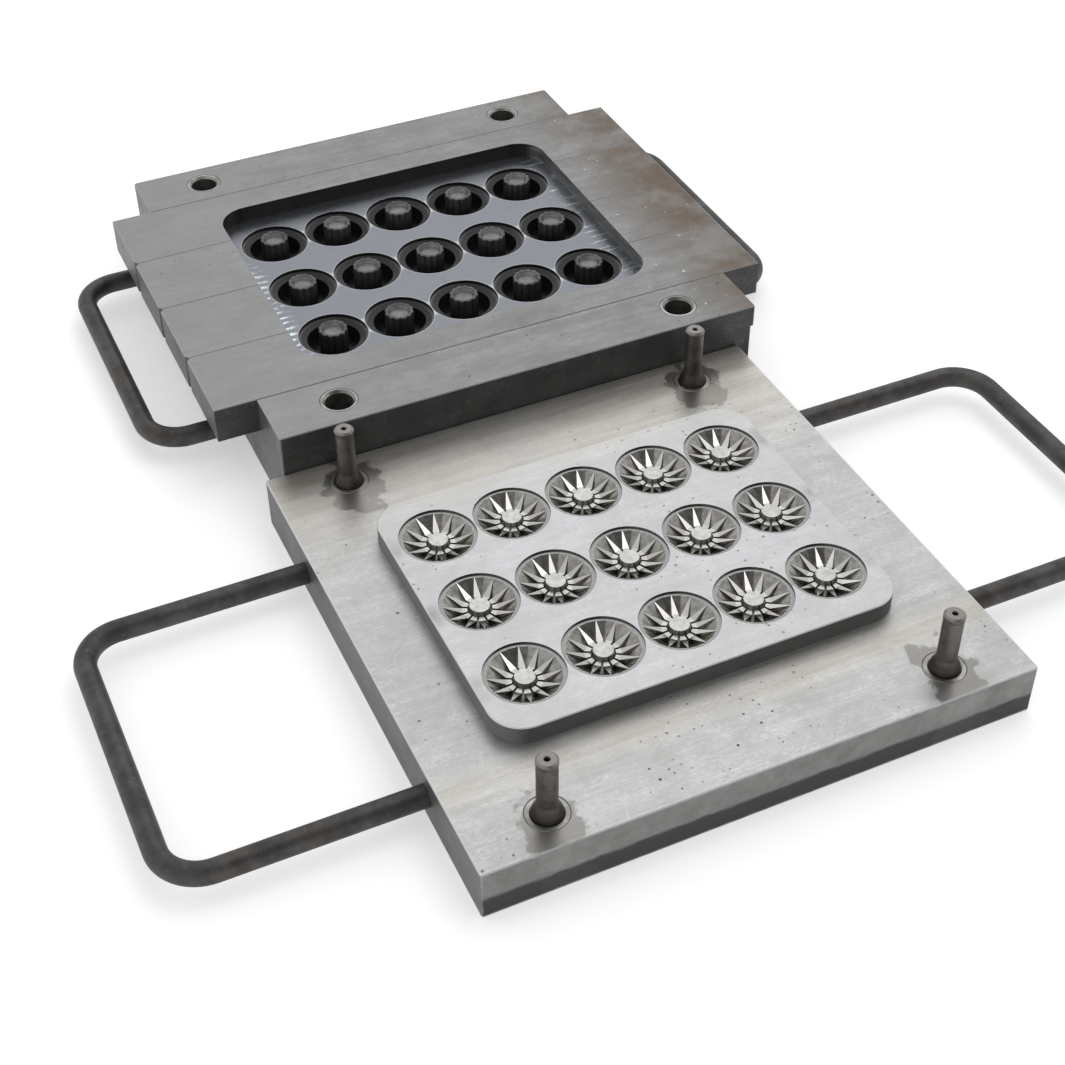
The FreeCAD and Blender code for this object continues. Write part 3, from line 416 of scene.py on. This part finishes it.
def paintRear(name, names, half):
    s = rearHalf
    material, tree, shader, place, facing = newFinish(name)
    at = addNode(tree, "SeparateXYZ", {0: place}).outputs
    upward = fade(tree, facing[2], 0.6, 0.9)
    top, strokes, black = groundTop(tree, place, s["topLook"])
    top = mixColour(tree, fade(tree, at[0], 0.02, -0.15, 0.0, 0.45), top, s["lilac"])
    stain = useGroup(tree, patches, Vector=place, Scale=24.0, Low=0.36, High=0.6, Detail=8.0)[0]
    rusty = allOf(tree, fade(tree, at[0], 0.120, 0.178), calc(tree, "ADD", 0.35, calc(tree, "MULTIPLY", stain, 0.6)))
    top = mixColour(tree, rusty, top, s["rust"])
    nicks = useGroup(tree, patches, Vector=place, Scale=210.0, Low=0.70, High=0.74, Detail=3.0)[0]
    nicks = allOf(tree, nicks, fade(tree, at[0], 0.09, 0.13))
    top = mixColour(tree, nicks, top, s["nick"])
    # outer faces: painted shade keeps them darker than the top and darker still towards the bottom; the left faces
    # painted lighter as light falls; grime over them
    mottled = useGroup(tree, patches, Vector=place, Scale=55.0, Low=0.3, High=0.72, Detail=7.0)[0]
    side = mixColour(tree, fade(tree, at[2], 0.020, 0.036), s["frontLow"], s["front"])
    side = mixColour(tree, fade(tree, facing[0], -0.4, -0.9), side, s["left"])
    side = mixColour(tree, calc(tree, "MULTIPLY", mottled, 0.5), side, s["grime"])
    gritty = useGroup(tree, grit, Vector=place)[0]
    side = mixColour(tree, fade(tree, gritty, 0.5, 0.66, 0.0, 0.3), side, s["gritLight"])
    body = mixColour(tree, upward, side, top)
    worn = useGroup(tree, edgeWear, Vector=place, Middle=s["middle"], Half=half, Width=0.0015)[0]
    # worn edges, and the chamfers painted bright as painted highlight
    bevel = within(tree, facing[2], 0.5, 0.9, 0.05)
    edges = calc(tree, "MAXIMUM", calc(tree, "MULTIPLY", worn, 0.5), calc(tree, "MULTIPLY", bevel, 0.8))
    body = mixColour(tree, edges, body, s["wornEdgeAndHighlight"])
    # inside the recess
    local = addNode(tree, "SeparateXYZ", {0: addNode(tree, "VectorMath", {0: place, 1: s["middle"]},
                                                     operation="SUBTRACT").outputs[0]}).outputs
    inX = fade(tree, calc(tree, "ABSOLUTE", local[0]), s["recessX"] - 0.0001, s["recessX"] + 0.0002, 1.0, 0.0)
    inY = fade(tree, calc(tree, "ABSOLUTE", local[1]), s["recessY"] - 0.0001, s["recessY"] + 0.0002, 1.0, 0.0)
    inside = allOf(tree, inX, inY, fade(tree, at[2], 0.0545, 0.0549, 1.0, 0.0), fade(tree, at[2], 0.0325, 0.0329))
    cell = useGroup(tree, nearestCentre, Vector=place, Middle=s["middle"], Pitch=s["pitch"], Reach=(2.2, 1.2, 0))
    # cutter marks in arcs about the well centres, ripples along the left edge, drag scratches at the right
    swirl = addNode(tree, "TexWave", {"Vector": place, "Scale": 260.0, "Distortion": 3.0, "Detail": 2.0},
                    wave_type="RINGS", rings_direction="Z").outputs["Fac"]
    floorLook = mixColour(tree, calc(tree, "MULTIPLY", swirl, 0.35), s["floorSteel"], s["floorDark"])
    ripple = addNode(tree, "TexWave", {"Vector": place, "Scale": 52.0, "Distortion": 2.5, "Detail": 2.0,
                                       "Detail Scale": 1.5},
                     wave_type="BANDS", bands_direction="Y").outputs["Fac"]
    frayed = useGroup(tree, patches, Vector=place, Scale=170.0, Low=0.38, High=0.6, Detail=4.0)[0]
    ripple = allOf(tree, fade(tree, ripple, 0.5, 0.9), fade(tree, local[0], -0.099, -0.1105), frayed,
                   fade(tree, local[1], 0.045, 0.02))
    torn = useGroup(tree, grain, Vector=place, Frequency=(60, 420, 60), Detail=6.0)[0]
    torn = allOf(tree, fade(tree, torn, 0.56, 0.66), fade(tree, local[0], 0.095, 0.106))
    # wear, with a painted highlight, on the cusps between neighbouring wells
    cusp = allOf(tree, fade(tree, cell["Radius"], 0.0214, 0.0236, 1.0, 0.0),
                 fade(tree, calc(tree, "ABSOLUTE", addNode(tree, "SeparateXYZ", {0: cell["Offset"]}).outputs[1]),
                      0.003, 0.010, 1.0, 0.0), fade(tree, calc(tree, "ABSOLUTE", local[0]), 0.098, 0.104, 1.0, 0.0))
    bright = anyOf(tree, ripple, torn, calc(tree, "MULTIPLY", cusp, 0.85))
    floorLook = mixColour(tree, bright, floorLook, s["bright"])
    drag = useGroup(tree, grain, Vector=place, Frequency=(60, 60, 700), Detail=5.0)[0]
    # painted shade: the recess walls painted dark; painted light: the wall facing -X painted lighter, with drag
    # scratches on it
    scraped = mixColour(tree, fade(tree, drag, 0.42, 0.62), s["rightWall"], s["scraped"])
    wall = mixColour(tree, fade(tree, facing[0], -0.6, -0.95), s["wall"], scraped)
    lower = mixColour(tree, upward, wall, floorLook)
    # painted shade: the wells painted near black and the step inside their mouths dark grey
    deep = fade(tree, at[2], s["floor"] - 0.0004, s["floor"] - 0.0001, 1.0, 0.0)
    step = allOf(tree, deep, upward, fade(tree, at[2], 0.0425, 0.0429))
    lower = mixColour(tree, deep, lower, s["well"])
    lower = mixColour(tree, step, lower, s["step"])
    # painted highlight: a light line round each well's edge
    lip = fade(tree, calc(tree, "ABSOLUTE", calc(tree, "SUBTRACT", cell["Radius"], 0.0212)), 0.0002, 0.0005, 1.0, 0.0)
    lower = mixColour(tree, allOf(tree, lip, upward, calc(tree, "SUBTRACT", 1.0, deep)), lower, s["lip"])
    colour = mixColour(tree, inside, body, lower)
    rough = mixValue(tree, upward, 0.45, calc(tree, "ADD", 0.32, calc(tree, "MULTIPLY", strokes, 0.2)))
    rough = mixValue(tree, inside, rough, mixValue(tree, deep, 0.26, 0.35))
    metal = mixValue(tree, upward, 0.55, 0.88)
    finishWith(tree, shader, colour, rough, metal,
               [(mixValue(tree, inside, strokes, swirl), 0.3, 0.00012),
                (calc(tree, "SUBTRACT", 1.0, black), 0.6, 0.0003),
                (calc(tree, "MULTIPLY", bright, inside), 0.3, 0.0002)])
    dress(material, names)


smallLooks = {
    "turnedPinSteel": {"low": (0.075, 0.067, 0.064), "high": (0.165, 0.148, 0.142), "rough": 0.30, "metal": 0.85,
                       "scale": 70.0, "strokes": (90, 90, 1800), "topFace": (0.25, 0.235, 0.225),
                       "hole": (0.012, 0.011, 0.010), "oily": (0.035, 0.032, 0.03)},
    "sleeveSteel": {"low": (0.20, 0.195, 0.185), "high": (0.46, 0.45, 0.43), "rough": 0.24, "metal": 0.92,
                    "scale": 80.0, "strokes": (900, 900, 900)},
    "polishedPostSteel": {"low": (0.085, 0.085, 0.088), "high": (0.145, 0.145, 0.148), "rough": 0.38, "metal": 0.85,
                          "scale": 130.0, "strokes": (700, 700, 1500), "dishLow": (0.19, 0.19, 0.192),
                          "dishHigh": (0.26, 0.26, 0.264)},
    "bentRodSteel": {"low": (0.052, 0.050, 0.049), "high": (0.098, 0.095, 0.092), "rough": 0.40, "metal": 0.65,
                     "scale": 75.0, "strokes": (260, 260, 260), "rust": (0.085, 0.060, 0.042),
                     "worn": (0.19, 0.18, 0.17)}}


def makeSmallFinish(name):
    look = smallLooks[name]
    material, tree, shader, place, facing = newFinish(name)
    mottled = useGroup(tree, patches, Vector=place, Scale=look["scale"], Low=0.32, High=0.7, Detail=7.0)[0]
    fine = useGroup(tree, grain, Vector=place, Frequency=look["strokes"], Detail=4.0)[0]
    worn = useGroup(tree, patches, Vector=place, Scale=look["scale"] * 3.0, Low=0.60, High=0.70, Detail=5.0)[0]
    colour = mixColour(tree, mottled, look["low"], look["high"])
    if name == "bentRodSteel":
        rust = useGroup(tree, patches, Vector=place, Scale=33.0, Low=0.52, High=0.68, Detail=7.0)[0]
        colour = mixColour(tree, calc(tree, "MULTIPLY", rust, 0.3), colour, look["rust"])
        colour = mixColour(tree, calc(tree, "MULTIPLY", worn, 0.35), colour, look["worn"])
    if name == "turnedPinSteel":
        at = addNode(tree, "SeparateXYZ", {0: place}).outputs
        # painted light: the pin's top face and chamfer painted lighter than the shank
        topFace = fade(tree, at[2], 0.0656, 0.0662)
        colour = mixColour(tree, topFace, colour, look["topFace"])
        # painted shade: the drilled centre painted near black
        pin = useGroup(tree, nearestCentre, Vector=place, Middle=frontPlate["firstPin"], Pitch=frontPlate["pinPitch"],
                       Reach=(1, 1, 0))
        hole = allOf(tree, fade(tree, pin["Radius"], 0.0012, 0.0017, 1.0, 0.0), fade(tree, at[2], 0.060, 0.061))
        colour = mixColour(tree, hole, colour, look["hole"])
        colour = mixColour(tree, fade(tree, at[2], 0.040, 0.034, 0.0, 0.75), colour, look["oily"])
    if name == "polishedPostSteel":
        at = addNode(tree, "SeparateXYZ", {0: place}).outputs
        # painted light: the dish, facing up, painted lighter than the dark sides
        dish = allOf(tree, fade(tree, facing[2], 0.1, 0.3), within(tree, at[2], 0.0466, 0.0489, 0.0001))
        colour = mixColour(tree, dish, colour, mixColour(tree, mottled, look["dishLow"], look["dishHigh"]))
    rough = calc(tree, "ADD", look["rough"], calc(tree, "MULTIPLY", fine, 0.22))
    finishWith(tree, shader, colour, rough, look["metal"], [(fine, 0.25, 0.0001), (mottled, 0.25, 0.0002)])
    return material


paintFrontPlate()
paintRear("groundBaseSteel", ["rear_base"], rearHalf["half"])
paintRear("splitBarSteel", ["split_bar_%d" % i for i in (1, 2, 3, 4)], rearHalf["barHalf"])
dress(makeSmallFinish("turnedPinSteel"), ["guide_pin_%d" % i for i in (1, 2, 3, 4)])
dress(makeSmallFinish("sleeveSteel"), [kind % i for kind in ("pin_sleeve_%d", "guide_bush_%d") for i in (1, 2, 3, 4)])
dress(makeSmallFinish("polishedPostSteel"), ["core_post_%d" % i for i in range(1, 16)])
dress(makeSmallFinish("bentRodSteel"),
      ["%s_handle_%s" % (half, side) for half in ("front", "rear") for side in ("left", "right")])
print("finishes laid on", len(nodes), "parts")


# turned and scalloped pieces that stand for plainer solids

def turnedPiece(name, radii, heights, around, centre, node):
    # surface of revolution with a wavy section: at turn t and step s the point lies
    # radii[t, s] from the axis at heights[s]; both ends close in one point on the axis
    turns, steps = radii.shape
    angle = 2 * np.pi * np.arange(turns) / turns
    x = centre[0] + radii * np.cos(angle)[:, None]
    y = centre[1] + radii * np.sin(angle)[:, None]
    z = centre[2] + np.broadcast_to(heights, radii.shape)
    ring = np.stack([x, y, z], axis=2).transpose(1, 0, 2).reshape(-1, 3)
    ends = np.array([(centre[0], centre[1], centre[2] + h) for h in (around[0], around[1])])
    points = np.concatenate([ring, ends])
    here = np.arange(turns)
    after = np.roll(here, -1)
    rows = (np.arange(steps - 1) * turns)[:, None]
    quads = np.stack([rows + here, rows + after, rows + turns + after, rows + turns + here], axis=2).reshape(-1, 4)
    low, high = steps * turns, steps * turns + 1
    last = (steps - 1) * turns
    fans = np.concatenate([np.stack([after, here, np.full(turns, low)], axis=1),
                           np.stack([last + here, last + after, np.full(turns, high)], axis=1)])
    mesh = bpy.data.meshes.new(name)
    mesh.from_pydata(points.tolist(), [], quads.tolist() + fans.tolist())
    mesh.shade_smooth()
    mesh.set_sharp_from_angle(angle=math.radians(35))
    mesh.materials.append(nodes[node].data.materials[0])
    piece = bpy.data.objects.new(name, mesh)
    bpy.context.scene.collection.objects.link(piece)
    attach(piece, "root")
    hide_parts(node)
    return piece


post = {"lobes": 12, "around": 144, "over": 0.0088, "root": 0.0077, "spigot": 0.0060, "spigotLength": 0.0100,
        "height": 0.0164, "edge": 0.0005, "mouth": 0.0067, "dishFloor": 0.0054, "dishDepth": 0.0024,
        "channelFloor": 0.033}


def buildPosts():
    # section: round lobes with sharp valleys, radius = root + (over - root) * sqrt(|cos 6 angle|);
    # profile: spigot, side, rounded rim, land, dish
    s = post
    angle = 2 * np.pi * np.arange(s["around"]) / s["around"]
    lobe = np.sqrt(np.abs(np.cos(s["lobes"] / 2 * angle)))
    turn = np.linspace(0, np.pi / 2, 6)
    edge = s["edge"]
    # (radius of the plain profile, height, share of the lobes)
    lines = [(s["spigot"] * 0.5, -s["spigotLength"], 0), (s["spigot"] - 0.0003, -s["spigotLength"], 0),
             (s["spigot"], -s["spigotLength"] + 0.0003, 0), (s["spigot"], 0.0, 0), (s["root"], 0.0, 1),
             (s["root"], s["height"] * 0.5, 1)]
    lines += [(s["root"] - edge * (1 - np.cos(t)), s["height"] - edge * (1 - np.sin(t)), 1) for t in turn]
    lines += [(s["mouth"] + 0.0002, s["height"], 0.15), (s["mouth"], s["height"] - 0.0001, 0)]
    slope = np.linspace(0, 1, 7)[1:]
    lines += [(s["mouth"] + (s["dishFloor"] - s["mouth"]) * k, s["height"] - s["dishDepth"] * k, 0) for k in slope]
    lines += [(s["dishFloor"] * 0.5, s["height"] - s["dishDepth"], 0)]
    radius, height, share = np.array(lines).T
    radii = radius[None, :] + share[None, :] * (s["over"] - s["root"]) * lobe[:, None]
    for i in range(1, 16):
        low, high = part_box("core_post_%d" % i)
        centre = ((low.x + high.x) / 2, (low.y + high.y) / 2, s["channelFloor"])
        turnedPiece("scallopedPost_%d" % i, radii, height, (-s["spigotLength"], s["height"] - s["dishDepth"]),
                    centre, "core_post_%d" % i)


pin = {"around": 72, "head": 0.0095, "headHeight": 0.004, "fit": 0.0080, "flareFrom": 0.0302,
       "fitTop": 0.036, "taper": 0.003, "shank": 0.0055, "worn": 0.00022, "capLength": 0.0032, "top": 0.067,
       "chamfer": 0.0011, "drill": 0.0015, "drillDepth": 0.0025, "ripple": 0.00004, "ripplePitch": 0.00145}


def buildPins():
    # profile: head, fit diameter, rounded taper, shank with turning ripples, cap with a chamfer, drilled centre
    s = pin
    bend = np.linspace(0, np.pi, 12)
    level = s["flareFrom"] + (s["fitTop"] + s["taper"] - s["flareFrom"]) * bend / np.pi
    neck = s["fit"] + (s["shank"] - s["worn"] - s["fit"]) * (1 - np.cos(bend)) / 2
    capFoot = s["top"] - s["capLength"]
    shankLevel = np.linspace(s["fitTop"] + s["taper"], capFoot - 0.0004, 90)[1:]
    shank = s["shank"] - s["worn"] + s["ripple"] * np.sin(shankLevel * 2 * np.pi / s["ripplePitch"])
    lines = [(s["head"] * 0.5, 0.0), (s["head"] - 0.0002, 0.0), (s["head"], 0.0002), (s["head"], s["headHeight"]),
             (s["fit"], s["headHeight"])]
    lines += list(zip(neck, level)) + list(zip(shank, shankLevel))
    lines += [(s["shank"], capFoot), (s["shank"], s["top"] - s["chamfer"]), (s["shank"] - s["chamfer"], s["top"]),
              (s["drill"] + 0.0002, s["top"]), (s["drill"], s["top"] - 0.0002), (s["drill"] * 0.4, s["top"] - 0.0018)]
    radius, height = np.array(lines).T
    angle = 2 * np.pi * np.arange(s["around"]) / s["around"]
    shy = np.where((height > s["fitTop"]) & (height < s["top"] - 0.002), 1.0, 0.0)
    uneven = 0.00005 * (np.sin(3 * angle + 1.0) + 0.6 * np.sin(7 * angle) - 1.6)
    radii = radius[None, :] + uneven[:, None] * shy[None, :]
    for i in (1, 2, 3, 4):
        low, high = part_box("guide_pin_%d" % i)
        centre = ((low.x + high.x) / 2, (low.y + high.y) / 2, 0.0)
        turnedPiece("turnedPin_%d" % i, radii, height, (0.0, s["top"] - s["drillDepth"]), centre,
                    "guide_pin_%d" % i)


buildPosts()
buildPins()
print("posts and guide pins turned")


# floor, light and camera

room = {"floorHalf": 6.0, "floorDrop": 0.0003, "floorGlow": 0.40, "ambient": 0.68,
        "upper": 0.78, "shade": 0.10, "shadeToward": (0.20, -0.60, 0.775)}


def buildRoom():
    s = room
    corners = np.array([(-1, -1), (1, -1), (1, 1), (-1, 1)], float) * s["floorHalf"]
    mesh = bpy.data.meshes.new("floor")
    mesh.from_pydata([(x, y, -s["floorDrop"]) for x, y in corners], [], [(0, 1, 2, 3)])
    floor = bpy.data.objects.new("floor", mesh)
    bpy.context.scene.collection.objects.link(floor)
    paint = bpy.data.materials.new("paleFloor")
    paint.use_nodes = True
    tree = paint.node_tree
    shader = next(node for node in tree.nodes if node.type == "BSDF_PRINCIPLED")
    shader.inputs["Base Color"].default_value = (0.86, 0.86, 0.86, 1)
    shader.inputs["Roughness"].default_value = 0.9
    shader.inputs["Emission Color"].default_value = (1, 1, 1, 1)
    seen = addNode(tree, "LightPath").outputs
    shown = anyOf(tree, seen["Is Camera Ray"], seen["Is Glossy Ray"], seen["Is Transmission Ray"])
    tree.links.new(calc(tree, "MULTIPLY", shown, s["floorGlow"]), shader.inputs["Emission Strength"])
    mesh.materials.append(paint)
    # the room is white round the horizon, greyer overhead and in shade above the viewer's side
    world = bpy.data.worlds.new("paleRoom")
    world.use_nodes = True
    bpy.context.scene.world = world
    tree = world.node_tree
    ground = next(node for node in tree.nodes if node.type == "BACKGROUND")
    ground.inputs["Color"].default_value = (1, 1, 1, 1)
    direction = addNode(tree, "TexCoord").outputs["Generated"]
    height = addNode(tree, "SeparateXYZ", {0: direction}).outputs[2]
    toShade = addNode(tree, "VectorMath", {0: direction, 1: s["shadeToward"]},
                      operation="DOT_PRODUCT").outputs["Value"]
    overhead = mixValue(tree, fade(tree, toShade, 0.79, 0.94), s["upper"], s["shade"])
    reflected = mixValue(tree, fade(tree, height, 0.16, 0.50), 1.0, overhead)
    seen = addNode(tree, "LightPath").outputs
    strength = mixValue(tree, seen["Is Glossy Ray"], s["ambient"], reflected)
    strength = mixValue(tree, anyOf(tree, seen["Is Camera Ray"], seen["Is Transmission Ray"]), strength, 1.0)
    tree.links.new(strength, ground.inputs["Strength"])


lamps = {"windowBehind": {"at": (1.0, 2.25, 2.1), "size": 2.4, "watts": 9.5},
         "softAbove": {"at": (0.75, 0.15, 2.2), "size": 1.3, "watts": 7.0}}


def addLamp(name, at, size, watts):
    data = bpy.data.lights.new(name, "AREA")
    data.shape = "DISK"
    data.size = size
    data.energy = watts
    lamp = bpy.data.objects.new(name, data)
    lamp.location = at
    lamp.rotation_mode = "QUATERNION"
    lamp.rotation_quaternion = (-Vector(at)).to_track_quat("-Z", "Y")
    bpy.context.scene.collection.objects.link(lamp)


view = {"at": (-0.3294, -0.75995, 0.6713), "lens": 60.85, "sensor": 36.0, "shift": (-0.0038, -0.0156),
        "right": (0.90789, -0.41914, -0.00781), "down": (-0.28113, -0.59492, -0.75302),
        "ahead": (0.31098, 0.68585, -0.65795)}


def addCamera():
    # the photograph's view: 41 degrees down, turned 24 degrees to the left of the front
    data = bpy.data.cameras.new("camera")
    data.sensor_width = view["sensor"]
    data.lens = view["lens"]
    data.shift_x, data.shift_y = view["shift"]
    data.clip_start, data.clip_end = 0.02, 60.0
    camera = bpy.data.objects.new("camera", data)
    camera.location = view["at"]
    camera.rotation_mode = "QUATERNION"
    axes = np.array([view["right"], -np.array(view["down"]), -np.array(view["ahead"])]).T
    camera.rotation_quaternion = Matrix(axes.tolist()).to_quaternion()
    bpy.context.scene.collection.objects.link(camera)
    bpy.context.scene.camera = camera


buildRoom()
for name, lamp in lamps.items():
    addLamp(name, **lamp)
addCamera()
bpy.context.scene.view_settings.view_transform = "Standard"
print("floor, light and camera ready")
